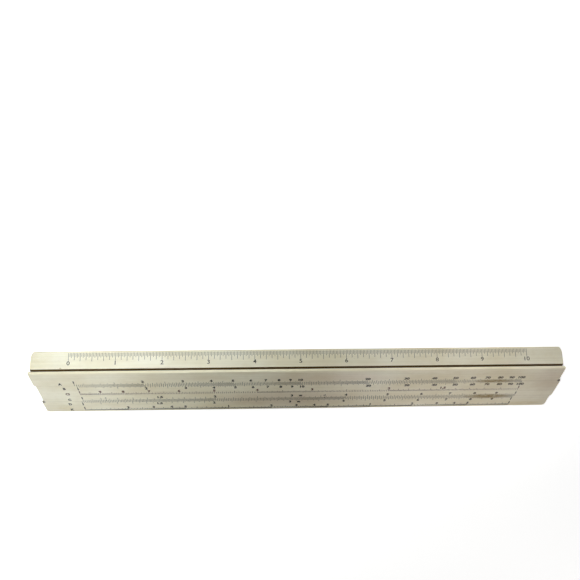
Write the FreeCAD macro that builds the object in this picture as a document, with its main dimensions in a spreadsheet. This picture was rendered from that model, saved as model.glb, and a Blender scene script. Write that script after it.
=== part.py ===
import FreeCAD, Part
import os
import re
import Sketcher

# A ten-inch slide rule: a laminated stock of two rails on a flexible base, and a tongued slide
# that runs between the rails.
#
# The rule lies on its back. X runs along the scales towards their larger numbers, Y runs across
# the face towards the bevelled edge, and Z points out of the face. The origin is the centre of
# the underside of the stock. Lengths are millimetres. Places across the rule are given as
# distances from the lower edge of the face, and places in height from the underside.

SIZES = {
    # the whole stock
    "rule_length": 295.0,
    "overall_width": 39.6,
    "face_width": 33.7,
    "thickness": 11.0,
    "lower_corner": 1.7,
    "bevel_corner": 2.0,
    # layers, from the back to the face
    "cover_thick": 0.8,
    "base_thick": 2.4,
    "liner_thick": 0.5,
    "facing": 1.7,
    "edge_facing": 1.0,
    "edge_break": 0.3,
    "cover_break": 0.3,
    # the two seams between the rails and the slide, and the slide's running clearances
    "lower_seam": 9.54,
    "upper_seam": 23.35,
    "side_gap": 0.04,
    "under_gap": 0.15,
    # the tongues of the slide; the roofs of their grooves are level with the cursor grooves' floors
    "tongue_height": 1.8,
    "tongue_reach": 1.8,
    "tongue_gap": 0.1,
    # the grooves that a cursor's frame runs in, under both edges of the face
    "cursor_groove_height": 1.5,
    "cursor_groove_depth": 2.0,
    # the sloping edge
    "ridge_step": 0.1,
    "thin_edge": 0.93,
    "bevel_facing_drop": 1.6,
    "rim_round": 0.25,
    # the split base and the metal strip that joins its halves
    "base_split": 0.5,
    "strip_length": 240.0,
    "strip_width": 9.0,
    "strip_thick": 0.6,
    "strip_fit": 0.05,
    "brad_radius": 0.6,
    "brad_length": 1.8,
    "brad_spacing": 30.0,
    "brad_row": 3.0,
    "pin_fit": 0.02,
    # the index windows near both ends of the back
    "window_from_middle": 133.0,
    "window_length": 19.0,
    "window_width": 15.0,
    "window_recess": 0.1,
    "window_fit": 0.05,
    "window_corner": 1.0,
    "sight_length": 11.0,
    "sight_width": 12.0,
    "window_pin_radius": 0.5,
    "window_pin_length": 2.3,
    "window_pin_apart": 7.6,
    "window_pin_aside": 4.5,
    # how far the slide stands to the right of flush
    "slide_rest": 1.0,
}
BRADS_PER_ROW = 8
ENDS = (-1, 1)

# How near two places have to be to count as one, and how near one a ratio has to be.
NEAR = 0.001
RATIO_NEAR = 0.01

# Places worked out from the sizes, as expressions for the sheet.
WELL_MIDDLE = "((lower_seam + upper_seam) / 2)"
LOWER_RAIL_SIDE = "(lower_seam - side_gap)"
UPPER_RAIL_SIDE = "(upper_seam + side_gap)"
SLIDE_LOWER_SIDE = "(lower_seam + side_gap)"
SLIDE_UPPER_SIDE = "(upper_seam - side_gap)"
BASE_TOP = "(cover_thick + base_thick)"
LINER_TOP = "(cover_thick + base_thick + liner_thick)"
STRIP_BOTTOM = "(cover_thick + base_thick - strip_thick)"
SLIDE_BOTTOM = "(cover_thick + base_thick + liner_thick + under_gap)"
SLIDE_CORE_BOTTOM = "(cover_thick + base_thick + liner_thick + under_gap + edge_facing)"
CORE_TOP = "(thickness - facing)"
GROOVE_FLOOR = "(thickness - facing - cursor_groove_height)"
GROOVE_WALL = "(face_width - cursor_groove_depth)"
RIDGE = "(face_width + ridge_step)"
SLOPE = "((overall_width - face_width - ridge_step) / (" + GROOVE_FLOOR + " - thin_edge))"
REBATE_BOTTOM = "(" + GROOVE_FLOOR + " - bevel_facing_drop)"
BEVEL_FOOT = "(" + RIDGE + " + (" + REBATE_BOTTOM + " - cover_thick) * " + SLOPE + ")"
TONGUE_TOP = "(" + GROOVE_FLOOR + " - tongue_gap)"
TONGUE_BOTTOM = "(" + TONGUE_TOP + " - tongue_height)"
TONGUE_SLOT_BOTTOM = "(" + TONGUE_BOTTOM + " - tongue_gap)"
TONGUE_SLOT_DEPTH = "(tongue_reach + 2 * tongue_gap)"
LOWER_TIP = "(" + SLIDE_LOWER_SIDE + " - tongue_reach)"
UPPER_TIP = "(" + SLIDE_UPPER_SIDE + " + tongue_reach)"
LOWER_SPLIT = "(" + WELL_MIDDLE + " - base_split / 2)"
UPPER_SPLIT = "(" + WELL_MIDDLE + " + base_split / 2)"
WINDOW_THICK = "(cover_thick - window_recess - window_fit)"

doc = FreeCAD.newDocument("slide_rule")
sheet = doc.addObject("Spreadsheet::Sheet", "Sizes")
for row, (alias, size) in enumerate(SIZES.items(), start=1):
    sheet.set("A%d" % row, alias)
    sheet.set("B%d" % row, str(size))
    sheet.setAlias("B%d" % row, alias)
doc.recompute()

subparts = []


def bound(text):
    """Make every size named in an expression refer to its cell of the sheet."""
    return re.sub("[a-z_]+", lambda word: "Sizes." + word.group(), text)


def value(text):
    """The number that an expression stands for."""
    return float(sheet.evalExpression(bound(text)))


def across(text):
    """A place across the rule, from a distance to the lower edge of the face."""
    return "(" + text + ") - overall_width / 2"


def new_body(label, travels=False):
    """An empty body for one piece; a piece of the slide stands where the slide rests."""
    body = doc.addObject("PartDesign::Body", label)
    body.Label = label
    if travels:
        body.setExpression("Placement.Base.x", bound("slide_rest"))
    subparts.append(body)
    return body


def new_sketch(body, name, role, height="0 * facing"):
    """A sketch on one of the body's origin planes, raised by a height."""
    sketch = body.newObject("Sketcher::SketchObject", name)
    plane = next(item for item in body.Origin.OriginFeatures if item.Role == role)
    sketch.AttachmentSupport = [(plane, "")]
    sketch.MapMode = "FlatFace"
    sketch.setExpression("AttachmentOffset.Base.z", bound(height))
    return sketch


def hold(sketch, geometry, point, right, up):
    """Hold a sketch point at two distances from the sketch's origin."""
    for kind, text in (("DistanceX", right), ("DistanceY", up)):
        rule = Sketcher.Constraint(kind, -1, 1, geometry, point, value(text))
        number = sketch.addConstraint(rule)
        sketch.setExpression("Constraints[%d]" % number, bound(text))


def polygon(sketch, corners):
    """A closed outline of straight lines through the corners."""
    first = sketch.GeometryCount
    vectors = [FreeCAD.Vector(value(right), value(up), 0) for right, up in corners]
    for number, start in enumerate(vectors):
        end = vectors[(number + 1) % len(vectors)]
        sketch.addGeometry(Part.LineSegment(start, end), False)
    for number, (right, up) in enumerate(corners):
        following = first + (number + 1) % len(corners)
        sketch.addConstraint(Sketcher.Constraint("Coincident", first + number, 2, following, 1))
        hold(sketch, first + number, 1, right, up)


def rectangle(sketch, left, right, low, high):
    """An upright rectangle between two places each way."""
    polygon(sketch, [(left, low), (right, low), (right, high), (left, high)])


def circle(sketch, right, up, radius):
    """A circle with its centre and radius held."""
    centre = FreeCAD.Vector(value(right), value(up), 0)
    round_line = Part.Circle(centre, FreeCAD.Vector(0, 0, 1), value(radius))
    number = sketch.addGeometry(round_line, False)
    hold(sketch, number, 3, right, up)
    rule = sketch.addConstraint(Sketcher.Constraint("Radius", number, value(radius)))
    sketch.setExpression("Constraints[%d]" % rule, bound(radius))


def section(body, corners, length="rule_length"):
    """Run a cross-section, given as places across and heights, along the rule."""
    sketch = new_sketch(body, "section", "YZ_Plane")
    polygon(sketch, [(across(place), height) for place, height in corners])
    pad = body.newObject("PartDesign::Pad", "run")
    pad.Profile = sketch
    pad.SideType = "Symmetric"
    pad.setExpression("Length", bound(length))
    doc.recompute()


def strip(body, low_side, high_side, bottom, top, length="rule_length"):
    """A plain strip of rectangular cross-section."""
    corners = [(low_side, bottom), (high_side, bottom), (high_side, top), (low_side, top)]
    section(body, corners, length)


def cut(body, sketch):
    """Cut a sketch right through the body, both ways, and make sure that it removed something."""
    before = body.Shape.Volume
    pocket = body.newObject("PartDesign::Pocket", "cut")
    pocket.Profile = sketch
    pocket.Type = "ThroughAll"
    pocket.SideType = "Symmetric"
    doc.recompute()
    if not body.Shape.Volume < before:
        raise RuntimeError("nothing was cut from " + body.Label)


def round_corners(body, side, inward, radius):
    """Round the two corners that an edge of the rule makes with its ends, seen from above."""
    sketch = new_sketch(body, "corners", "XY_Plane")
    for end in ENDS:
        tangent = "%d * (rule_length / 2 - %s)" % (end, radius)
        beyond = "%d * (rule_length / 2 + %s)" % (end, radius)
        outside = across("%s - %d * %s" % (side, inward, radius))
        inside = across("%s + %d * %s" % (side, inward, radius))
        on_edge = across(side)
        centre = FreeCAD.Vector(value(tangent), value(inside), 0)
        start = FreeCAD.Vector(value(tangent), value(on_edge), 0)
        finish = centre + FreeCAD.Vector(end * value(radius), 0, 0)
        diagonal = FreeCAD.Vector(end, -inward, 0).normalize() * value(radius)
        level = FreeCAD.Vector(value(beyond), value(inside), 0)
        far = FreeCAD.Vector(value(beyond), value(outside), 0)
        arc = sketch.addGeometry(Part.Arc(start, centre + diagonal, finish), False)
        counter_clockwise = end * inward > 0
        start_point, finish_point = (1, 2) if counter_clockwise else (2, 1)
        lines = [Part.LineSegment(finish, level), Part.LineSegment(level, far), Part.LineSegment(far, start)]
        for line in lines:
            sketch.addGeometry(line, False)
        joints = [(arc, finish_point, arc + 1, 1), (arc + 1, 2, arc + 2, 1)]
        joints += [(arc + 2, 2, arc + 3, 1), (arc + 3, 2, arc, start_point)]
        for joint in joints:
            sketch.addConstraint(Sketcher.Constraint("Coincident", *joint))
        hold(sketch, arc, 3, tangent, inside)
        hold(sketch, arc + 3, 2, tangent, on_edge)
        hold(sketch, arc + 1, 2, beyond, inside)
        hold(sketch, arc + 2, 2, beyond, outside)
        sketch.addConstraint(Sketcher.Constraint("Horizontal", arc + 1))
    cut(body, sketch)


def round_edges(body, radius, chosen):
    """Round the edges whose bounding box passes a test."""
    base = body.Tip
    edges = enumerate(base.Shape.Edges, start=1)
    names = ["Edge%d" % number for number, edge in edges if chosen(edge.BoundBox)]
    fillet = body.newObject("PartDesign::Fillet", "rounding")
    fillet.Base = (base, names)
    fillet.setExpression("Radius", bound(radius))
    doc.recompute()


def level_at(box, height):
    """True for an edge that lies flat at a height."""
    return abs(box.ZMin - height) < NEAR and abs(box.ZMax - height) < NEAR


def upright(box, height):
    """True for an edge that stands as high as a plate is thick."""
    return abs(box.ZLength - height) < NEAR


def sight_openings(body):
    """Cut the openings through which the windows show the back of the slide."""
    sketch = new_sketch(body, "sights", "XY_Plane")
    low = across(WELL_MIDDLE + " - sight_width / 2")
    high = across(WELL_MIDDLE + " + sight_width / 2")
    for end in ENDS:
        left = "%d * window_from_middle - sight_length / 2" % end
        right = "%d * window_from_middle + sight_length / 2" % end
        rectangle(sketch, left, right, low, high)
    cut(body, sketch)


def brad_places(side):
    """Where the brads of one row stand: on side -1 or 1 of the split."""
    place = across(WELL_MIDDLE + " + %d * brad_row" % side)
    steps = [number - (BRADS_PER_ROW - 1) / 2 for number in range(BRADS_PER_ROW)]
    return [("%g * brad_spacing" % step, place) for step in steps]


def window_pin_places(end):
    """Where the two pins of one window stand: both in the upper half, so that the base can flex."""
    place = across(WELL_MIDDLE + " + window_pin_aside")
    return [("%d * window_from_middle + %d * window_pin_apart" % (end, side), place) for side in ENDS]


def drill(body, places, radius):
    """Drill a row of holes, a little wider than the pins that they hold."""
    sketch = new_sketch(body, "holes", "XY_Plane")
    for right, up in places:
        circle(sketch, right, up, radius + " + pin_fit")
    cut(body, sketch)


def pins(label, places, radius, bottom, length):
    """A group of upright pins."""
    group = doc.addObject("Part::Compound", label)
    members = []
    for right, up in places:
        pin = doc.addObject("Part::Cylinder", "pin")
        pin.setExpression("Radius", bound(radius))
        pin.setExpression("Height", bound(length))
        pin.setExpression("Placement.Base.x", bound(right))
        pin.setExpression("Placement.Base.y", bound(up))
        pin.setExpression("Placement.Base.z", bound(bottom))
        members.append(pin)
    group.Links = members
    group.Label = label
    subparts.append(group)


# ---- the rails: three laminae each, the middle one narrower to leave the tongue's groove ----

def lower_rail():
    slot_wall = LOWER_RAIL_SIDE + " - " + TONGUE_SLOT_DEPTH
    layers = [
        ("bottom", "edge_facing", LOWER_RAIL_SIDE, BASE_TOP, TONGUE_SLOT_BOTTOM),
        ("middle", "edge_facing", slot_wall, TONGUE_SLOT_BOTTOM, GROOVE_FLOOR),
        ("top", "cursor_groove_depth", LOWER_RAIL_SIDE, GROOVE_FLOOR, CORE_TOP),
    ]
    for layer, low_side, high_side, bottom, top in layers:
        lamina = new_body("lower_rail_" + layer + "_lamina")
        strip(lamina, low_side, high_side, bottom, top)
        if value(low_side) < value("lower_corner"):
            round_corners(lamina, "0 * facing", 1, "lower_corner")


def upper_rail():
    slot_wall = UPPER_RAIL_SIDE + " + " + TONGUE_SLOT_DEPTH
    layers = [
        ("bottom", UPPER_RAIL_SIDE, BASE_TOP, TONGUE_SLOT_BOTTOM),
        ("middle", slot_wall, TONGUE_SLOT_BOTTOM, GROOVE_FLOOR),
        ("top", UPPER_RAIL_SIDE, GROOVE_FLOOR, CORE_TOP),
    ]
    for layer, low_side, bottom, top in layers:
        lamina = new_body("upper_rail_" + layer + "_lamina")
        strip(lamina, low_side, GROOVE_WALL, bottom, top)


def bevel_wedge():
    wedge = new_body("bevel_wedge")
    section(wedge, [
        (GROOVE_WALL, "cover_thick"),
        (BEVEL_FOOT, "cover_thick"),
        (RIDGE, REBATE_BOTTOM),
        (RIDGE, GROOVE_FLOOR),
        (GROOVE_WALL, GROOVE_FLOOR),
    ])
    round_corners(wedge, "overall_width", -1, "bevel_corner")


# ---- the base: two halves joined by a springy strip ----

def base_halves():
    halves = [
        ("base_lower_half", "edge_facing", LOWER_SPLIT, -1),
        ("base_upper_half", UPPER_SPLIT, GROOVE_WALL, 1),
    ]
    for label, low_side, high_side, side in halves:
        half = new_body(label)
        strip(half, low_side, high_side, "cover_thick", BASE_TOP)
        recess = new_sketch(half, "recess", "XY_Plane", STRIP_BOTTOM)
        reach = "strip_length / 2 + strip_fit"
        low = across(WELL_MIDDLE + " - strip_width / 2 - strip_fit")
        high = across(WELL_MIDDLE + " + strip_width / 2 + strip_fit")
        rectangle(recess, "-(" + reach + ")", reach, low, high)
        before = half.Shape.Volume
        pocket = half.newObject("PartDesign::Pocket", "recess_cut")
        pocket.Profile = recess
        pocket.Type = "ThroughAll"
        pocket.Reversed = True
        doc.recompute()
        removed = before - half.Shape.Volume
        wanted = value("(strip_length + 2 * strip_fit) * strip_thick")
        wanted *= value("strip_width / 2 + strip_fit - base_split / 2")
        if abs(removed / wanted - 1) > RATIO_NEAR:
            raise RuntimeError("the recess of " + label + " is wrong")
        sight_openings(half)
        drill(half, brad_places(side), "brad_radius")
        if side > 0:
            drill(half, window_pin_places(-1) + window_pin_places(1), "window_pin_radius")
        else:
            round_corners(half, "0 * facing", 1, "lower_corner")


def spring_strip():
    metal = new_body("spring_strip")
    low_side = WELL_MIDDLE + " - strip_width / 2"
    high_side = WELL_MIDDLE + " + strip_width / 2"
    strip(metal, low_side, high_side, STRIP_BOTTOM, BASE_TOP, "strip_length")
    drill(metal, brad_places(-1) + brad_places(1), "brad_radius")
    places = brad_places(-1) + brad_places(1)
    pins("spring_strip_brads", places, "brad_radius", BASE_TOP + " - brad_length", "brad_length")


def well_liner():
    liner = new_body("well_liner")
    strip(liner, LOWER_RAIL_SIDE, UPPER_RAIL_SIDE, BASE_TOP, LINER_TOP)
    sight_openings(liner)


# ---- the facings of the stock ----

def face_plates():
    top = value("thickness")
    lower = new_body("lower_face")
    strip(lower, "0 * facing", LOWER_RAIL_SIDE, CORE_TOP, "thickness")
    round_corners(lower, "0 * facing", 1, "lower_corner")
    seam = value(across(LOWER_RAIL_SIDE))
    round_edges(lower, "edge_break", lambda box: level_at(box, top) and box.YMin < seam - NEAR)

    upper = new_body("upper_face")
    strip(upper, UPPER_RAIL_SIDE, "face_width", CORE_TOP, "thickness")
    other_seam = value(across(UPPER_RAIL_SIDE))
    round_edges(upper, "edge_break", lambda box: level_at(box, top) and box.YMax > other_seam + NEAR)


def bevel_face():
    plate = new_body("bevel_face")
    section(plate, [
        (RIDGE, GROOVE_FLOOR),
        (RIDGE, REBATE_BOTTOM),
        (BEVEL_FOOT, "cover_thick"),
        ("overall_width", "cover_thick"),
        ("overall_width", "thin_edge"),
    ])
    round_corners(plate, "overall_width", -1, "bevel_corner")
    ridge = value(across(RIDGE))
    ridge_height = value(GROOVE_FLOOR)
    slope = value(SLOPE)

    def on_rim(box):
        top = ridge_height - (box.YMin - ridge) / slope
        bottom = ridge_height - (box.YMax - ridge) / slope
        slanting = abs(box.ZMax - top) < NEAR and abs(box.ZMin - bottom) < NEAR
        return box.YMax > ridge + NEAR and slanting

    round_edges(plate, "rim_round", on_rim)


def lower_edge_face():
    plate = new_body("lower_edge_face")
    strip(plate, "0 * facing", "edge_facing", "cover_thick", GROOVE_FLOOR)
    round_corners(plate, "0 * facing", 1, "lower_corner")


def back_cover():
    cover = new_body("back_cover")
    strip(cover, "0 * facing", "overall_width", "0 * facing", "cover_thick")
    sketch = new_sketch(cover, "window_seats", "XY_Plane")
    low = across(WELL_MIDDLE + " - window_width / 2 - window_fit")
    high = across(WELL_MIDDLE + " + window_width / 2 + window_fit")
    for end in ENDS:
        middle = "%d * window_from_middle" % end
        left = middle + " - window_length / 2 - window_fit"
        right = middle + " + window_length / 2 + window_fit"
        rectangle(sketch, left, right, low, high)
    cut(cover, sketch)
    outermost = value("rule_length / 2") - NEAR
    height = value("cover_thick")

    def at_window(box):
        return upright(box, height) and abs(box.XMin) < outermost

    round_edges(cover, "window_corner", at_window)
    round_corners(cover, "0 * facing", 1, "lower_corner")
    round_corners(cover, "overall_width", -1, "bevel_corner")
    outline = value("window_from_middle + window_length / 2 + window_corner")

    def on_outline(box):
        return level_at(box, 0) and (box.XLength > outline or max(abs(box.XMin), abs(box.XMax)) > outline)

    round_edges(cover, "cover_break", on_outline)


# ---- the index windows in the back ----

def back_windows():
    for side_name, end in (("left", -1), ("right", 1)):
        window = new_body(side_name + "_back_window")
        sketch = new_sketch(window, "outline", "XY_Plane", "window_recess")
        middle = "%d * window_from_middle" % end
        low = across(WELL_MIDDLE + " - window_width / 2")
        high = across(WELL_MIDDLE + " + window_width / 2")
        rectangle(sketch, middle + " - window_length / 2", middle + " + window_length / 2", low, high)
        pad = window.newObject("PartDesign::Pad", "sheet")
        pad.Profile = sketch
        pad.setExpression("Length", bound(WINDOW_THICK))
        doc.recompute()
        height = value(WINDOW_THICK)
        round_edges(window, "window_corner", lambda box: upright(box, height))
        places = window_pin_places(end)
        drill(window, places, "window_pin_radius")
        pins(side_name + "_window_pins", places, "window_pin_radius", "window_recess", "window_pin_length")


# ---- the slide: three laminae, the middle one wider to make both tongues ----

def slide():
    layers = [
        ("bottom", SLIDE_LOWER_SIDE, SLIDE_UPPER_SIDE, SLIDE_CORE_BOTTOM, TONGUE_BOTTOM),
        ("tongue", LOWER_TIP, UPPER_TIP, TONGUE_BOTTOM, TONGUE_TOP),
        ("top", SLIDE_LOWER_SIDE, SLIDE_UPPER_SIDE, TONGUE_TOP, CORE_TOP),
    ]
    for layer, low_side, high_side, bottom, top in layers:
        lamina = new_body("slide_" + layer + "_lamina", travels=True)
        strip(lamina, low_side, high_side, bottom, top)

    face = new_body("slide_face", travels=True)
    strip(face, SLIDE_LOWER_SIDE, SLIDE_UPPER_SIDE, CORE_TOP, "thickness")
    top = value("thickness")
    round_edges(face, "edge_break", lambda box: level_at(box, top) and box.YLength > NEAR)

    back = new_body("slide_back", travels=True)
    strip(back, SLIDE_LOWER_SIDE, SLIDE_UPPER_SIDE, SLIDE_BOTTOM, SLIDE_CORE_BOTTOM)


lower_rail()
upper_rail()
bevel_wedge()
base_halves()
spring_strip()
well_liner()
face_plates()
bevel_face()
lower_edge_face()
back_cover()
back_windows()
slide()
doc.recompute()

for item in doc.Objects:
    if "Invalid" in item.State or "Error" in item.State:
        raise RuntimeError(item.Label + " failed: " + str(item.State))
for subpart in subparts:
    if subpart.Shape.isNull() or not subpart.Shape.isValid():
        raise RuntimeError(subpart.Label + " has no valid shape")

os.makedirs("parts", exist_ok=True)
for subpart in subparts:
    subpart.Shape.exportStep("parts/" + subpart.Label + ".step")
    box = subpart.Shape.BoundBox
    print("%-26s %8.1f mm3  x %7.2f %7.2f  y %6.2f %6.2f  z %5.2f %5.2f" % (
        subpart.Label, subpart.Shape.Volume, box.XMin, box.XMax, box.YMin, box.YMax, box.ZMin, box.ZMax))
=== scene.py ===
import math

import bpy
from mathutils import Matrix, Vector


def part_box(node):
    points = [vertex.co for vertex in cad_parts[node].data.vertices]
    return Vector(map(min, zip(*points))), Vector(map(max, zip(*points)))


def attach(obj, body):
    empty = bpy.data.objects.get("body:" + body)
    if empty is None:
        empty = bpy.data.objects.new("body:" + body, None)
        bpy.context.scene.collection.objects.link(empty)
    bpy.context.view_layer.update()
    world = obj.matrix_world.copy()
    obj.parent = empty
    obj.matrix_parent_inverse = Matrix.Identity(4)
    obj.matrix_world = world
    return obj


# The looks of a ten-inch slide rule: the aged plastic facings, the laminated bamboo behind them,
# and every graduation and numeral as a thin inlay. Lengths are metres, in the rule's own frame.

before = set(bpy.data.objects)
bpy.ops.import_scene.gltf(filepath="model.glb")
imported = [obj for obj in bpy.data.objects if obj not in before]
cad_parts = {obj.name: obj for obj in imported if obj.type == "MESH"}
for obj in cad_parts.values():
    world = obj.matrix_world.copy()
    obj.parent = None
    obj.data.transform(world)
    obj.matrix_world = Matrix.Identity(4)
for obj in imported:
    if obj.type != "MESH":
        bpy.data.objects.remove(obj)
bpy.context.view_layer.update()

MM = 0.001
INCH = 25.4 * MM

# ---- places taken from the frame; only the height of the bevel's thin edge isn't in it ----

FACE_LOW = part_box("lower_face")[0].y
FACE_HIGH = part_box("upper_face")[1].y
FACE_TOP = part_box("upper_face")[1].z
SLIDE_LOW, SLIDE_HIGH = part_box("slide_face")
STOCK_LOW, STOCK_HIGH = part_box("back_cover")
SLIDE_MIDDLE = (SLIDE_LOW.x + SLIDE_HIGH.x) / 2
LOWER_SEAM = (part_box("lower_face")[1].y + SLIDE_LOW.y) / 2
UPPER_SEAM = (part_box("upper_face")[0].y + SLIDE_HIGH.y) / 2
RIDGE = Vector((0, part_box("bevel_face")[0].y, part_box("bevel_face")[1].z))
THIN_EDGE_HEIGHT = 0.93 * MM
THIN_EDGE = Vector((0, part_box("bevel_face")[1].y, THIN_EDGE_HEIGHT))
EDGE_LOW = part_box("lower_edge_face")[0]
GROOVE_MIDDLE = (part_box("bevel_wedge")[1].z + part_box("upper_face")[0].z) / 2
BACK_OF_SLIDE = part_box("slide_back")[0].z

# ---- the scales ----

SCALE_LENGTH = 250 * MM
LEFT_INDEX = -SCALE_LENGTH / 2
LINE_WIDTH = 0.2 * MM
INDEX_WIDTH = 0.24 * MM
HAIRLINE_WIDTH = 0.12 * MM
HAIRLINE_MARGIN = 1.5 * MM
NUMERAL_HEIGHT = 1.85 * MM
LETTER_HEIGHT = 1.9 * MM
GAUGE_HEIGHT = 1.2 * MM
NUMERAL_WIDENING = 1.25

# How far the strokes of the letters are swollen, as a share of the text's size.
BOLD = 0.055
LIGHT = 0.01

# How far an inlay stands above its surface and reaches below it.
INLAY_ABOVE = 0.008 * MM
INLAY_BELOW = 0.02 * MM

# How a scale is divided: (first number, last number, lines per unit, every n-th is middling,
# every n-th is long).
LONG_DECADE = [(1, 2, 100, 5, 10), (2, 4, 50, 5, 25), (4, 10, 20, 2, 10)]
SHORT_DECADE = [(1, 2, 50, 5, 25), (2, 5, 20, 2, 10), (5, 10, 10, 5, 10)]
SEAM_LINES = {
    "short": 1.2 * MM, "middling": 1.9 * MM, "long": 2.7 * MM, "numbered": 1.7 * MM, "width": 0.2 * MM,
}
LOW_LINES = {
    "short": 1.1 * MM, "middling": 1.5 * MM, "long": 2.1 * MM, "numbered": 1.4 * MM, "width": 0.26 * MM,
}


# ---- inlays ----

class Inlay:
    """Closed flat inlays on one surface, gathered into one piece.

    The surface has an origin and two directions, right and up; it faces right x up.
    """

    def __init__(self, name, origin, right, up):
        self.name = name
        self.origin = Vector(origin)
        self.right = Vector(right).normalized()
        self.up = Vector(up).normalized()
        self.out = self.right.cross(self.up)
        self.vertices = []
        self.faces = []

    def point(self, right, up, out):
        return self.origin + self.right * right + self.up * up + self.out * out

    def add(self, vertices, faces):
        first = len(self.vertices)
        self.vertices.extend(vertices)
        self.faces.extend([tuple(first + corner for corner in face) for face in faces])

    def block(self, left, right, low, high):
        """A thin rectangular block let into the surface."""
        corners = [(left, low), (right, low), (right, high), (left, high)]
        below = [self.point(a, b, -INLAY_BELOW) for a, b in corners]
        above = [self.point(a, b, INLAY_ABOVE) for a, b in corners]
        sides = [(i, (i + 1) % 4, (i + 1) % 4 + 4, i + 4) for i in range(4)]
        self.add(below + above, [(3, 2, 1, 0), (4, 5, 6, 7)] + sides)

    def line(self, place, base, tip, width=LINE_WIDTH):
        """A graduation line that stands at a place along the scale."""
        self.block(place - width / 2, place + width / 2, min(base, tip), max(base, tip))

    def numeral(self, text, place, middle, height, swell=BOLD):
        """A broad numeral centred on a point."""
        self.words(text, place, middle, height, swell, NUMERAL_WIDENING)

    def words(self, text, place, middle, height, swell=BOLD, widening=1.0):
        """Letters centred on a point."""
        vertices, faces = glyphs(text, swell)
        self.add([
            self.point(
                place + x * height * widening,
                middle + y * height,
                INLAY_ABOVE if above else -INLAY_BELOW,
            )
            for x, y, above in vertices
        ], faces)

    def build(self, body, slot, material):
        mesh = bpy.data.meshes.new(self.name)
        mesh.from_pydata(self.vertices, [], self.faces)
        mesh.materials.append(material)
        piece = bpy.data.objects.new(self.name, mesh)
        bpy.context.scene.collection.objects.link(piece)
        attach(piece, body)
        return piece


glyph_store = {}


def text_outline(text, swell):
    """A solid mesh of some text, one unit deep, in Blender's own font with its strokes swollen."""
    curve = bpy.data.curves.new("text", "FONT")
    curve.body = text
    curve.align_x = "CENTER"
    curve.resolution_u = 3
    curve.offset = swell
    curve.extrude = 0.5
    holder = bpy.data.objects.new("text", curve)
    bpy.context.scene.collection.objects.link(holder)
    bpy.context.view_layer.update()
    evaluated = holder.evaluated_get(bpy.context.evaluated_depsgraph_get())
    mesh = bpy.data.meshes.new_from_object(evaluated)
    bpy.data.objects.remove(holder)
    bpy.data.curves.remove(curve)
    return mesh


def glyphs(text, swell):
    """Vertices (x, y, whether above) and faces of a text, a digit's height being one unit."""
    if (text, swell) not in glyph_store:
        rows = [vertex.co.y for vertex in text_outline("1", swell).vertices]
        low, high = min(rows), max(rows)
        mesh = text_outline(text, swell)
        columns = [vertex.co.x for vertex in mesh.vertices]
        middle = (min(columns) + max(columns)) / 2
        tall = high - low
        vertices = [
            ((v.co.x - middle) / tall, (v.co.y - (low + high) / 2) / tall, v.co.z > 0)
            for v in mesh.vertices
        ]
        faces = [tuple(face.vertices) for face in mesh.polygons]
        glyph_store[text, swell] = (vertices, faces)
    return glyph_store[text, swell]


# ---- materials ----

def node(tree, kind, **settings):
    made = tree.nodes.new(kind)
    for name, setting in settings.items():
        setattr(made, name, setting)
    return made


def feed(tree, socket, source):
    """Give a socket a number, a colour or another node's output."""
    if isinstance(source, bpy.types.NodeSocket):
        tree.links.new(source, socket)
    else:
        socket.default_value = source


def calculate(tree, operation, first, second=0.0):
    made = node(tree, "ShaderNodeMath", operation=operation)
    feed(tree, made.inputs[0], first)
    feed(tree, made.inputs[1], second)
    return made.outputs[0]


def stretched(tree, scale):
    """The place on the rule in millimetres, multiplied by a scale along each axis."""
    where = node(tree, "ShaderNodeTexCoord").outputs["Object"]
    made = node(tree, "ShaderNodeVectorMath", operation="MULTIPLY")
    feed(tree, made.inputs[0], where)
    feed(tree, made.inputs[1], tuple(1000 * part for part in scale))
    return made.outputs[0]


def noise(tree, scale, detail=3.0, roughness=0.5):
    """Noise whose grain is one over the scale, in millimetres, along each axis."""
    made = node(tree, "ShaderNodeTexNoise")
    feed(tree, made.inputs["Vector"], stretched(tree, scale))
    feed(tree, made.inputs["Scale"], 1.0)
    feed(tree, made.inputs["Detail"], detail)
    feed(tree, made.inputs["Roughness"], roughness)
    return made.outputs["Fac"]


def between(tree, source, low, high):
    """Zero below low, one above high, and smooth between them."""
    made = node(tree, "ShaderNodeMapRange", interpolation_type="SMOOTHSTEP")
    feed(tree, made.inputs["Value"], source)
    feed(tree, made.inputs["From Min"], low)
    feed(tree, made.inputs["From Max"], high)
    return made.outputs["Result"]


def blend(tree, factor, first, second):
    made = node(tree, "ShaderNodeMix", data_type="RGBA")
    feed(tree, made.inputs["Factor"], factor)
    feed(tree, made.inputs[6], first)
    feed(tree, made.inputs[7], second)
    return made.outputs[2]


def axes(tree):
    """The place on the rule along each axis, in metres."""
    where = node(tree, "ShaderNodeTexCoord").outputs["Object"]
    parts = node(tree, "ShaderNodeSeparateXYZ")
    feed(tree, parts.inputs[0], where)
    return parts.outputs


def spot(tree, place, reach):
    """One at a place and zero beyond the reach; None along an axis means all along it."""
    where = axes(tree)
    total = 0.0
    for axis, (middle, extent) in enumerate(zip(place, reach)):
        if middle is None:
            continue
        away = calculate(tree, "SUBTRACT", where[axis], middle)
        share = calculate(tree, "DIVIDE", away, extent)
        square = calculate(tree, "MULTIPLY", share, share)
        total = calculate(tree, "ADD", square, total)
    inverse = calculate(tree, "SUBTRACT", 1.0, total)
    return between(tree, inverse, 0.0, 1.0)


def colour(red, green, blue):
    """A linear colour from the 0 to 255 values that a colour picker shows."""
    def linear(part):
        share = part / 255
        return share / 12.92 if share <= 0.04045 else ((share + 0.055) / 1.055) ** 2.4
    return (linear(red), linear(green), linear(blue), 1.0)


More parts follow.
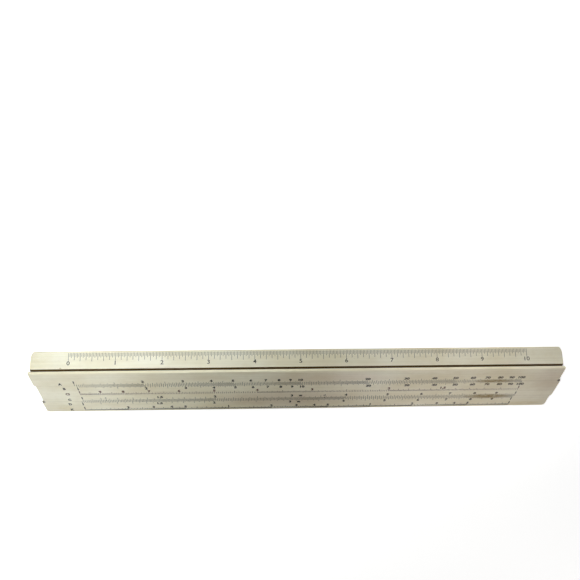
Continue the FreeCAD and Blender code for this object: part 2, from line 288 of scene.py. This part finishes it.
def new_material(name, roughness, **constants):
    material = bpy.data.materials.new(name)
    material.use_nodes = True
    tree = material.node_tree
    shader = tree.nodes["Principled BSDF"]
    shader.inputs["Roughness"].default_value = roughness
    for socket, setting in constants.items():
        shader.inputs[socket.replace("_", " ")].default_value = setting
    return material, tree, shader


def relief(tree, shader, height, distance, strength=1.0):
    """Raise the surface by a height, as bump."""
    made = node(tree, "ShaderNodeBump")
    feed(tree, made.inputs["Height"], height)
    feed(tree, made.inputs["Distance"], distance)
    feed(tree, made.inputs["Strength"], strength)
    tree.links.new(made.outputs["Normal"], shader.inputs["Normal"])


PLANING = colour(176, 168, 138)
MOTTLE = colour(205, 190, 160)
SPECK = colour(130, 112, 82)


def celluloid(name, fresh, yellowed, tint_patches=()):
    """Old white plastic: clouded yellowing, lengthwise streaks from planing, specks, and the given tint
    patches: discolouration, painted shade and painted highlights.
    """
    material, tree, shader = new_material(
        name, 0.38, Specular_IOR_Level=0.42, Coat_Weight=0.12, Coat_Roughness=0.22)
    clouds = between(tree, noise(tree, (0.03, 0.07, 0.07), 4.0, 0.55), 0.3, 0.72)
    skin = blend(tree, clouds, fresh, yellowed)
    streaks = between(tree, noise(tree, (0.012, 1.1, 1.1), 3.0, 0.6), 0.35, 0.75)
    share = calculate(tree, "MULTIPLY", streaks, 0.16)
    skin = blend(tree, share, skin, PLANING)
    mottle = between(tree, noise(tree, (0.35, 0.35, 0.35), 5.0, 0.6), 0.42, 0.8)
    share = calculate(tree, "MULTIPLY", mottle, 0.14)
    skin = blend(tree, share, skin, MOTTLE)
    specks = between(tree, noise(tree, (1.6, 1.6, 1.6), 2.0, 0.5), 0.73, 0.78)
    share = calculate(tree, "MULTIPLY", specks, 0.35)
    skin = blend(tree, share, skin, SPECK)
    patches = between(tree, noise(tree, (0.5, 2.2, 2.2), 4.0, 0.65), 0.3, 0.62)
    for place, reach, tint, strength, patchy in tint_patches:
        share = calculate(tree, "MULTIPLY", spot(tree, place, reach), strength)
        if patchy:
            share = calculate(tree, "MULTIPLY", share, patches)
        skin = blend(tree, share, skin, tint)
    tree.links.new(skin, shader.inputs["Base Color"])
    wear = noise(tree, (0.05, 0.9, 0.9), 4.0, 0.6)
    gloss = calculate(tree, "ADD", calculate(tree, "MULTIPLY", wear, 0.3), 0.22)
    tree.links.new(gloss, shader.inputs["Roughness"])
    scratches = noise(tree, (0.02, 6.0, 6.0), 2.0, 0.5)
    relief(tree, shader, scratches, 0.01 * MM, 0.5)
    return material


FIBRE = colour(104, 72, 38)
BROWN_SHADE = colour(150, 108, 62)
GRIME = colour(74, 54, 32)
GROOVE_SHADE = colour(58, 48, 26)
GROOVES = [RIDGE.y - 1.0 * MM, FACE_LOW + 1.0 * MM]


def bamboo(name, pith, spacing):
    """Bamboo: fibres along the rule, seen as dots on the ends, darkened by handling, with painted shade
    in the grooves.
    """
    material, tree, shader = new_material(name, 0.55, Specular_IOR_Level=0.3)
    fibres = node(tree, "ShaderNodeTexVoronoi", feature="F1")
    feed(tree, fibres.inputs["Vector"], stretched(tree, (0.02, 1 / spacing, 1 / spacing)))
    feed(tree, fibres.inputs["Scale"], 1.0)
    bundle = between(tree, fibres.outputs["Distance"], 0.16, 0.42)
    wood = blend(tree, bundle, FIBRE, pith)
    shades = between(tree, noise(tree, (0.01, 0.5, 0.5), 3.0, 0.5), 0.3, 0.7)
    share = calculate(tree, "MULTIPLY", shades, 0.45)
    wood = blend(tree, share, wood, BROWN_SHADE)
    grime = between(tree, noise(tree, (0.25, 0.4, 0.4), 4.0, 0.6), 0.45, 0.75)
    share = calculate(tree, "MULTIPLY", grime, 0.5)
    wood = blend(tree, share, wood, GRIME)
    # Painted shade: the bamboo is painted a near-black brown along each groove, where the lip above
    # shades it.
    for groove in GROOVES:
        groove_shade = spot(tree, (None, groove, GROOVE_MIDDLE), (None, 2.4 * MM, 1.6 * MM))
        share = calculate(tree, "MULTIPLY", groove_shade, 0.96)
        wood = blend(tree, share, wood, GROOVE_SHADE)
    tree.links.new(wood, shader.inputs["Base Color"])
    dull = calculate(tree, "ADD", calculate(tree, "MULTIPLY", bundle, 0.2), 0.45)
    tree.links.new(dull, shader.inputs["Roughness"])
    relief(tree, shader, bundle, 0.03 * MM, 0.6)
    return material


def sheet_metal():
    """Rolled aluminium strip, with fine lines along it."""
    material, tree, shader = new_material("sheet_metal", 0.35, Metallic=1.0)
    lines = noise(tree, (0.03, 9.0, 9.0), 3.0, 0.6)
    tint = blend(tree, lines, colour(168, 170, 172), colour(212, 213, 214))
    tree.links.new(tint, shader.inputs["Base Color"])
    rough = calculate(tree, "ADD", calculate(tree, "MULTIPLY", lines, 0.25), 0.22)
    tree.links.new(rough, shader.inputs["Roughness"])
    relief(tree, shader, lines, 0.01 * MM, 0.4)
    return material


def brass():
    """Brass wire, dulled."""
    material, tree, shader = new_material("brass", 0.35, Metallic=1.0)
    tarnish = between(tree, noise(tree, (1.5, 1.5, 1.5), 4.0, 0.6), 0.35, 0.7)
    tint = blend(tree, tarnish, colour(206, 170, 96), colour(140, 108, 60))
    tree.links.new(tint, shader.inputs["Base Color"])
    rough = calculate(tree, "ADD", calculate(tree, "MULTIPLY", tarnish, 0.3), 0.25)
    tree.links.new(rough, shader.inputs["Roughness"])
    return material


def clear_sheet():
    """The clear plastic of the index windows, a little yellowed and scuffed."""
    material, tree, shader = new_material("clear_sheet", 0.12, Alpha=0.3, Specular_IOR_Level=0.8)
    age = between(tree, noise(tree, (0.12, 0.12, 0.12), 3.0, 0.5), 0.3, 0.7)
    tint = blend(tree, age, colour(250, 247, 236), colour(240, 232, 206))
    tree.links.new(tint, shader.inputs["Base Color"])
    scuffs = between(tree, noise(tree, (2.0, 3.0, 2.0), 4.0, 0.7), 0.55, 0.8)
    rough = calculate(tree, "ADD", calculate(tree, "MULTIPLY", scuffs, 0.25), 0.05)
    tree.links.new(rough, shader.inputs["Roughness"])
    return material


def ink(name, full, faded, tint_patches=()):
    """Ink in engraved lines, worn paler here and there."""
    material, tree, shader = new_material(name, 0.6, Specular_IOR_Level=0.25)
    wear = between(tree, noise(tree, (0.2, 0.6, 0.6), 4.0, 0.6), 0.4, 0.75)
    share = calculate(tree, "MULTIPLY", wear, 0.55)
    tint = blend(tree, share, full, faded)
    for place, reach, stain_tint, strength, _ in tint_patches:
        share = calculate(tree, "MULTIPLY", spot(tree, place, reach), strength)
        tint = blend(tree, share, tint, stain_tint)
    tree.links.new(tint, shader.inputs["Base Color"])
    return material


def seen_or_lit(tree, seen, lit):
    """One strength for what the camera sees and another for the light that it gives."""
    path = node(tree, "ShaderNodeLightPath")
    more = calculate(tree, "MULTIPLY", path.outputs["Is Camera Ray"], seen - lit)
    return calculate(tree, "ADD", more, lit)


def floor_material():
    """A pale plain floor that stays white around the rule and still takes a soft shadow."""
    material, tree, shader = new_material("pale_floor", 0.9, Specular_IOR_Level=0.1)
    shade = noise(tree, (0.01, 0.01, 0.01), 2.0, 0.5)
    tint = blend(tree, shade, colour(246, 246, 245), colour(250, 250, 249))
    tree.links.new(tint, shader.inputs["Base Color"])
    glow = node(tree, "ShaderNodeEmission")
    feed(tree, glow.inputs["Strength"], seen_or_lit(tree, FLOOR_GLOW, 0.0))
    both = node(tree, "ShaderNodeAddShader")
    output = tree.nodes["Material Output"]
    tree.links.new(shader.outputs[0], both.inputs[0])
    tree.links.new(glow.outputs[0], both.inputs[1])
    tree.links.new(both.outputs[0], output.inputs["Surface"])
    return material


# Tint patches give discolouration, and also painted shade and painted highlights where marked.
# Tint patches: (place along X, Y and Z), (reach along each), colour, strength, whether it is patchy.
OCHRE = colour(146, 118, 52)
YELLOW = colour(206, 186, 112)
ROSY = colour(176, 140, 116)
PAINTED_HIGHLIGHT = colour(250, 244, 216)
SLIDE_END_SHADOW = colour(48, 38, 24)
SEAM_AND_EDGE_SHADE = colour(120, 108, 82)


def stain(place, reach, tint, strength, patchy=True):
    """A patch of tint on a face seen from above, given along X and Y; None means all along."""
    return ((*place, None), (*reach, None), tint, strength, patchy)


def millimetres(*lengths):
    return tuple(None if length is None else length * MM for length in lengths)


UPPER_OCHRE = (LEFT_INDEX + 235 * MM, UPPER_SEAM)
LOWER_OCHRE = (LEFT_INDEX + 235 * MM, LOWER_SEAM)
STOCK_STAINS_AND_PAINTED_LIGHT = [
    stain(UPPER_OCHRE, millimetres(13, 1.8), OCHRE, 0.9),
    stain(LOWER_OCHRE, millimetres(16, 2.6), OCHRE, 1.0),
    stain((LEFT_INDEX - 10.7 * MM, FACE_LOW + 3.9 * MM), millimetres(6, 3.5), YELLOW, 0.3),
    stain((STOCK_HIGH.x - 13 * MM, FACE_LOW + 2.6 * MM), millimetres(12, 1.8), YELLOW, 0.35),
    stain((STOCK_HIGH.x - 1 * MM, FACE_HIGH - 9 * MM), millimetres(18, 14), ROSY, 0.22, False),
    # Painted shade: broad rosy darkening over the middle of the face.
    stain((-8 * MM, LOWER_SEAM), millimetres(50, 9), ROSY, 0.3, False),
    stain((14 * MM, UPPER_SEAM + 4 * MM), millimetres(40, 7), ROSY, 0.2, False),
    # Painted highlight: a paler band along the face's top edge.
    stain((None, FACE_HIGH), millimetres(None, 2.0), PAINTED_HIGHLIGHT, 0.2, False),
    # Painted shadow: dark spots on the face at the seams' ends, where the slide stands out of line with
    # the stock.
    ((STOCK_LOW.x + 0.3 * MM, LOWER_SEAM, FACE_TOP), millimetres(2.0, 1.5, 0.8), SLIDE_END_SHADOW, 1.0, False),
    ((STOCK_HIGH.x, UPPER_SEAM, FACE_TOP), millimetres(1.3, 1.2, 0.7), SLIDE_END_SHADOW, 1.0, False),
    # Painted shade: thin darker lines along both seams between the slide and the stock.
    stain((None, UPPER_SEAM), millimetres(None, 0.35), SEAM_AND_EDGE_SHADE, 0.12),
    stain((None, LOWER_SEAM), millimetres(None, 0.35), SEAM_AND_EDGE_SHADE, 0.12),
    # Painted shade: darker bands along the seams and above the face's lower edge, strongest in the middle
    # of the rule, and a darker line along the lower edge.
    stain((0.0, UPPER_SEAM), millimetres(140, 1.8), SEAM_AND_EDGE_SHADE, 0.15),
    stain((0.0, LOWER_SEAM), millimetres(140, 1.8), SEAM_AND_EDGE_SHADE, 0.15),
    stain((0.0, FACE_LOW + 1.4 * MM), millimetres(140, 1.2), SEAM_AND_EDGE_SHADE, 0.25),
    stain((None, FACE_LOW), millimetres(None, 0.6), SEAM_AND_EDGE_SHADE, 0.35),
]
BEVEL_STAINS_AND_HIGHLIGHTS = [
    stain((STOCK_LOW.x, THIN_EDGE.y - 2 * MM), millimetres(16, 6), YELLOW, 0.22),
    stain((STOCK_HIGH.x, THIN_EDGE.y - 2 * MM), millimetres(24, 8), YELLOW, 0.12),
    # Painted highlights: pale lines along the bevel's ridge and thin edge, and down the bevel's left end.
    stain((None, RIDGE.y), millimetres(None, 0.5), PAINTED_HIGHLIGHT, 0.5),
    stain((None, THIN_EDGE.y), millimetres(None, 0.4), PAINTED_HIGHLIGHT, 0.5),
    stain((STOCK_LOW.x, None), millimetres(0.8, None), PAINTED_HIGHLIGHT, 0.6),
    stain((STOCK_LOW.x + 16.5 * MM, RIDGE.y + 0.3 * MM), millimetres(0.7, 0.3), OCHRE, 0.9),
]

FRESH = colour(242, 236, 214)
AGED = colour(228, 218, 188)
face_celluloid = celluloid("face_celluloid", FRESH, AGED, STOCK_STAINS_AND_PAINTED_LIGHT)
edge_celluloid = celluloid("edge_celluloid", colour(236, 233, 214), colour(224, 217, 189), BEVEL_STAINS_AND_HIGHLIGHTS)
back_celluloid = celluloid("back_celluloid", colour(226, 219, 196), colour(212, 200, 168))
light_bamboo = bamboo("light_bamboo", colour(198, 160, 106), 0.52)
dark_bamboo = bamboo("dark_bamboo", colour(174, 132, 80), 0.44)
BROWNED = colour(112, 90, 40)
WORN = colour(120, 112, 98)
INK_STAINS = [
    stain((STOCK_HIGH.x, None), millimetres(130, None), WORN, 0.45),
    stain(UPPER_OCHRE, millimetres(13, 4), BROWNED, 0.8),
    stain(LOWER_OCHRE, millimetres(16, 4), BROWNED, 0.9),
]
black_ink = ink("black_ink", colour(26, 26, 28), colour(78, 76, 72), INK_STAINS)
red_ink = ink("red_ink", colour(88, 54, 46), colour(126, 94, 82))

LOOKS = {
    "upper_face": face_celluloid,
    "lower_face": face_celluloid,
    "slide_face": face_celluloid,
    "bevel_face": edge_celluloid,
    "lower_edge_face": edge_celluloid,
    "back_cover": back_celluloid,
    "slide_back": back_celluloid,
    "well_liner": back_celluloid,
    "spring_strip": sheet_metal(),
    "spring_strip_brads": brass(),
    "left_back_window": clear_sheet(),
    "upper_rail_top_lamina": dark_bamboo,
    "upper_rail_bottom_lamina": dark_bamboo,
    "lower_rail_top_lamina": dark_bamboo,
    "lower_rail_bottom_lamina": dark_bamboo,
    "slide_tongue_lamina": dark_bamboo,
}
LOOKS["right_back_window"] = LOOKS["left_back_window"]
LOOKS["left_window_pins"] = LOOKS["spring_strip_brads"]
LOOKS["right_window_pins"] = LOOKS["spring_strip_brads"]

for name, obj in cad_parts.items():
    look = LOOKS.get(name, light_bamboo)
    if not obj.material_slots:
        obj.data.materials.append(look)
    for slot in obj.material_slots:
        slot.material = look


# ---- graduations ----

def rank(count, middling, long):
    """How long a line is, from its count of smallest parts."""
    if count % long == 0:
        return "long"
    if count % middling == 0:
        return "middling"
    return "short"


def log_scale(inlay, spans, decades, base, upwards, lengths, numbers, middle, reverse=False):
    """The lines and numerals of a logarithmic scale.

    The lines stand on the base line, or hang from it where upwards is negative. A line beside
    a numeral is cut short to leave room for it, and the two index lines are broader.
    """
    def place(number):
        along = math.log10(number) / decades * SCALE_LENGTH
        return -(LEFT_INDEX + along) if reverse else LEFT_INDEX + along

    numbered = [number for text, number in numbers]
    for decade in range(decades):
        for first, last, per_unit, middling, long in spans:
            for count in range(first * per_unit, last * per_unit):
                number = count / per_unit * 10 ** decade
                kind = "numbered" if number in numbered else rank(count, middling, long)
                if number > 1:
                    inlay.line(place(number), base, base + upwards * lengths[kind], lengths["width"])
    for end in (-1, 1):
        tip = base + upwards * lengths["numbered"]
        inlay.line(end * SCALE_LENGTH / 2, base, tip, INDEX_WIDTH)
    for text, number in numbers:
        inlay.numeral(text, place(number), middle, NUMERAL_HEIGHT)


def on_face(name, travels=False):
    """An inlay on the face; heights are from the face's lower edge."""
    middle = SLIDE_MIDDLE if travels else 0.0
    return Inlay(name, (middle, FACE_LOW, FACE_TOP), (1, 0, 0), (0, 1, 0))


# How far the middles of the numerals and letters stand up the face, and where two scales have
# base lines of their own.
NUMERALS_UP = {"A": 26.38 * MM, "B": 20.56 * MM, "CI": 17.91 * MM, "C": 12.52 * MM}
NUMERALS_UP.update({"D": 6.87 * MM, "K": 3.43 * MM})
LETTER_UP = {"A": 24.9 * MM, "B": 20.9 * MM, "CI": 16.2 * MM, "C": 11.1 * MM}
LETTER_UP.update({"D": 7.05 * MM, "K": 1.9 * MM})
CI_BASE = 15.3 * MM
K_BASE = 0.95 * MM

# How far the letters stand to the left of the left index.
LETTER_ASIDE = {"A": 7.8 * MM, "B": 7.5 * MM, "CI": 7.1 * MM, "C": 7.4 * MM, "D": 7.2 * MM, "K": 7.4 * MM}
BACK_LETTER_ASIDE = 7 * MM


def scale_letter(inlay, letter):
    """The letter that names a scale of the face."""
    inlay.words(letter, LEFT_INDEX - LETTER_ASIDE[letter], LETTER_UP[letter], LETTER_HEIGHT)


STOCK_EDGE_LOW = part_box("lower_face")[1].y - FACE_LOW
STOCK_EDGE_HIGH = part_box("upper_face")[0].y - FACE_LOW
SLIDE_EDGE_LOW = SLIDE_LOW.y - FACE_LOW
SLIDE_EDGE_HIGH = SLIDE_HIGH.y - FACE_LOW

whole_numbers = [(str(n), n) for n in range(1, 10)]
square_numbers = whole_numbers + [(str(10 * n), 10 * n) for n in range(1, 11)]
fine_numbers = [("1", 1), ("1.5", 1.5), ("2", 2), ("3", 3), ("π", math.pi)]
fine_numbers += [(str(n), n) for n in range(4, 10)] + [("1", 10)]
inverse_numbers = [("1.5", 1.5)] + whole_numbers + [("1", 10)]
cube_numbers = [(str(n), n * 10 ** d) for d in range(3) for n in range(1, 6)] + [("1", 1000)]

marks = on_face("a_scale")
log_scale(marks, SHORT_DECADE, 2, STOCK_EDGE_HIGH, 1, SEAM_LINES, square_numbers, NUMERALS_UP["A"])
scale_letter(marks, "A")
marks.build("stock", "black_ink", black_ink)

marks = on_face("b_scale", travels=True)
log_scale(marks, SHORT_DECADE, 2, SLIDE_EDGE_HIGH, -1, SEAM_LINES, square_numbers, NUMERALS_UP["B"])
scale_letter(marks, "B")
marks.build("slide", "black_ink", black_ink)

marks = on_face("ci_scale", travels=True)
log_scale(marks, LONG_DECADE, 1, CI_BASE, 1, LOW_LINES, inverse_numbers, NUMERALS_UP["CI"], reverse=True)
scale_letter(marks, "CI")
marks.build("slide", "red_ink", red_ink)

marks = on_face("c_scale", travels=True)
log_scale(marks, LONG_DECADE, 1, SLIDE_EDGE_LOW, 1, SEAM_LINES, fine_numbers, NUMERALS_UP["C"])
scale_letter(marks, "C")
for text, number in (("c", math.sqrt(4 / math.pi)), ("c1", math.sqrt(40 / math.pi))):
    place = LEFT_INDEX + math.log10(number) * SCALE_LENGTH
    marks.line(place, SLIDE_EDGE_LOW, SLIDE_EDGE_LOW + SEAM_LINES["numbered"])
    marks.words(text, place, NUMERALS_UP["C"], GAUGE_HEIGHT)
marks.build("slide", "black_ink", black_ink)

marks = on_face("d_scale")
log_scale(marks, LONG_DECADE, 1, STOCK_EDGE_LOW, -1, SEAM_LINES, fine_numbers, NUMERALS_UP["D"])
scale_letter(marks, "D")
marks.build("stock", "black_ink", black_ink)

marks = on_face("k_scale")
log_scale(marks, SHORT_DECADE, 3, K_BASE, 1, LOW_LINES, cube_numbers, NUMERALS_UP["K"])
scale_letter(marks, "K")
marks.build("stock", "black_ink", black_ink)


# ---- rulers ----

INCHES = 10
PARTS_OF_INCH = 32
CENTIMETRES = 27
FIRST_MILLIMETRE = -5 * CENTIMETRES


def inch_ruler():
    """Ten inches along the bevel, in thirty-seconds, from its thin edge."""
    marks = Inlay("inch_ruler", THIN_EDGE, (1, 0, 0), THIN_EDGE - RIDGE)
    lengths = [(32, 5.2), (16, 5.0), (8, 4.8), (4, 4.2), (2, 2.9), (1, 2.3)]
    for count in range(INCHES * PARTS_OF_INCH + 1):
        length = next(size for step, size in lengths if count % step == 0)
        place = (count / PARTS_OF_INCH - INCHES / 2) * INCH
        marks.line(place, -0.3 * MM, -length * MM)
    for number in range(INCHES + 1):
        marks.numeral(str(number), (number - INCHES / 2) * INCH, -5.85 * MM, 2.1 * MM, LIGHT)
    marks.build("stock", "black_ink", black_ink)


def centimetre_ruler():
    """Twenty-seven centimetres along the lower edge, in millimetres, from the underside."""
    origin = (0, EDGE_LOW.y, EDGE_LOW.z)
    marks = Inlay("centimetre_ruler", origin, (1, 0, 0), (0, 0, 1))
    lengths = [(10, 3.4), (5, 2.7), (1, 1.9)]
    for count in range(10 * CENTIMETRES + 1):
        length = next(size for step, size in lengths if count % step == 0)
        marks.line((count + FIRST_MILLIMETRE) * MM, 0.1 * MM, length * MM)
    for number in range(CENTIMETRES + 1):
        marks.numeral(str(number), (10 * number + FIRST_MILLIMETRE) * MM, 4.8 * MM, 1.6 * MM)
    marks.build("stock", "black_ink", black_ink)


inch_ruler()
centimetre_ruler()


# ---- the back of the slide: sines, equal parts and tangents ----

def on_back(name):
    """An inlay on the slide's back; it is read with the rule turned over about its length."""
    return Inlay(name, (SLIDE_MIDDLE, SLIDE_HIGH.y, BACK_OF_SLIDE), (1, 0, 0), (0, -1, 0))


def sine_place(degrees):
    """On a sine scale of two decades, the right index being a right angle."""
    return LEFT_INDEX + (math.log10(math.sin(math.radians(degrees))) / 2 + 1) * SCALE_LENGTH


def tangent_place(degrees):
    """On a tangent scale of one decade, the right index being half a right angle."""
    return LEFT_INDEX + (math.log10(math.tan(math.radians(degrees))) + 1) * SCALE_LENGTH


def angle_scale(marks, place, spans, numbers, base, middle):
    """Lines for spans of angle (first, last, lines per degree), and numerals."""
    for first, last, per_degree in spans:
        for count in range(int(first * per_degree), int(last * per_degree) + 1):
            kind = rank(count, max(1, per_degree // 2), per_degree)
            marks.line(place(count / per_degree), base, base + LOW_LINES[kind])
    for degrees in numbers:
        marks.numeral(str(degrees), place(degrees), middle, NUMERAL_HEIGHT)


marks = on_back("sine_scale")
sine_spans = [(0.6, 5, 10), (5, 20, 4), (20, 40, 2), (40, 70, 1)]
sine_numbers = [1, 2, 3, 4, 5, 6, 8, 10, 15, 20, 30, 40, 50, 60, 90]
angle_scale(marks, sine_place, sine_spans, sine_numbers, 0.5 * MM, 3.6 * MM)
marks.words("S", LEFT_INDEX - BACK_LETTER_ASIDE, 2.0 * MM, LETTER_HEIGHT)
marks.build("slide", "black_ink", black_ink)

EQUAL_PARTS = 500
EQUAL_PARTS_BASE = 5.0 * MM
marks = on_back("equal_parts_scale")
for count in range(EQUAL_PARTS + 1):
    tip = EQUAL_PARTS_BASE + LOW_LINES[rank(count, 10, 50)]
    marks.line(LEFT_INDEX + count * SCALE_LENGTH / EQUAL_PARTS, EQUAL_PARTS_BASE, tip)
for number in range(11):
    marks.numeral(str(number), LEFT_INDEX + number * SCALE_LENGTH / 10, 8.1 * MM, NUMERAL_HEIGHT)
marks.words("L", LEFT_INDEX - BACK_LETTER_ASIDE, 6.5 * MM, LETTER_HEIGHT)
marks.build("slide", "black_ink", black_ink)

marks = on_back("tangent_scale")
tangent_spans = [(6, 20, 6), (20, 45, 3)]
tangent_numbers = [6, 7, 8, 9, 10, 15, 20, 30, 40, 45]
angle_scale(marks, tangent_place, tangent_spans, tangent_numbers, 9.3 * MM, 12.4 * MM)
marks.words("T", LEFT_INDEX - BACK_LETTER_ASIDE, 11.0 * MM, LETTER_HEIGHT)
marks.build("slide", "black_ink", black_ink)

for side in ("left", "right"):
    low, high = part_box(side + "_back_window")
    hairline = Inlay(side + "_hairline", ((low.x + high.x) / 2, high.y, high.z), (-1, 0, 0), (0, -1, 0))
    hairline.line(0.0, HAIRLINE_MARGIN, high.y - low.y - HAIRLINE_MARGIN, HAIRLINE_WIDTH)
    hairline.build("stock", "red_ink", red_ink)


# ---- floor, light and camera ----

FLOOR_REACH = 2.0
FLOOR_CLEARANCE = 0.02 * MM
FLOOR_GLOW = 0.75
BACKDROP_GLOW = 0.95
ROOM_LIGHT = 0.025

floor_mesh = bpy.data.meshes.new("floor")
floor_corners = [(-FLOOR_REACH, -FLOOR_REACH, 0), (FLOOR_REACH, -FLOOR_REACH, 0)]
floor_corners += [(FLOOR_REACH, FLOOR_REACH, 0), (-FLOOR_REACH, FLOOR_REACH, 0)]
floor_mesh.from_pydata(floor_corners, [], [(0, 1, 2, 3)])
floor = bpy.data.objects.new("floor", floor_mesh)
floor.location.z = -FLOOR_CLEARANCE
floor_mesh.materials.append(floor_material())
bpy.context.scene.collection.objects.link(floor)


WARM = (1.0, 0.94, 0.92)
DAYLIGHT = (0.97, 1.0, 0.98)
POOL = math.radians(40)
POOL_SIZE = (0.1, 0.1)


def area_light(name, place, target, size, power, tint, spread=math.pi):
    light = bpy.data.lights.new(name, "AREA")
    light.shape = "RECTANGLE"
    light.size, light.size_y = size
    light.energy = power
    light.color = tint
    light.spread = spread
    holder = bpy.data.objects.new(name, light)
    holder.location = place
    direction = Vector(target) - Vector(place)
    holder.rotation_euler = direction.to_track_quat("-Z", "Y").to_euler()
    bpy.context.scene.collection.objects.link(holder)


area_light("left_softbox", (-0.27, 0.45, 0.25), (-0.08, 0.0, 0.0), (0.25, 0.2), 1.56, DAYLIGHT)
area_light("left_back_softbox", (-0.4, -0.4, 0.3), (0.0, 0.0, 0.0), (0.3, 0.3), 0.86, DAYLIGHT)
area_light("right_back_softbox", (0.4, -0.4, 0.3), (0.0, 0.0, 0.0), (0.3, 0.3), 0.24, WARM)
area_light("left_pool", (-0.14, 0.15, 0.3), (-0.14, 0.0, 0.0), POOL_SIZE, 0.0237, DAYLIGHT, POOL)
area_light("middle_pool", (0.03, 0.15, 0.3), (0.03, 0.01, 0.0), POOL_SIZE, 0.0012, WARM, POOL)
area_light("bevel_pool", (-0.06, 0.3, 0.12), (-0.06, 0.018, 0.004), POOL_SIZE, 0.0102, DAYLIGHT, POOL)
area_light("right_bevel_pool", (0.11, 0.3, 0.12), (0.11, 0.018, 0.004), POOL_SIZE, 0.0196, WARM, POOL)
area_light("right_low_pool", (0.1, -0.2, 0.25), (0.1, -0.01, 0.01), POOL_SIZE, 0.0168, WARM, POOL)

world = bpy.data.worlds.new("soft_room")
world.use_nodes = True
room = world.node_tree.nodes["Background"]
feed(world.node_tree, room.inputs["Color"], (1.0, 1.0, 1.0, 1.0))
feed(world.node_tree, room.inputs["Strength"], seen_or_lit(world.node_tree, BACKDROP_GLOW, ROOM_LIGHT))
bpy.context.scene.world = world
bpy.context.scene.view_settings.view_transform = "Standard"

CAMERA_PLACE = Vector((-12.8, 206.6, 173.8)) * MM
CAMERA_AIM = Vector((-6.85, 71.6, 11.0)) * MM
CAMERA_RIGHT = Vector((0.9996, 0.0131, 0.0258))

backwards = (CAMERA_PLACE - CAMERA_AIM).normalized()
upwards = backwards.cross(CAMERA_RIGHT).normalized()
rightwards = upwards.cross(backwards)
camera_data = bpy.data.cameras.new("camera")
camera_data.sensor_width = 36.0
camera_data.lens = 28.24
camera_data.clip_start = 0.01
camera = bpy.data.objects.new("camera", camera_data)
turn = Matrix((rightwards, upwards, backwards)).transposed().to_4x4()
camera.matrix_world = Matrix.Translation(CAMERA_PLACE) @ turn
bpy.context.scene.collection.objects.link(camera)
bpy.context.scene.camera = camera
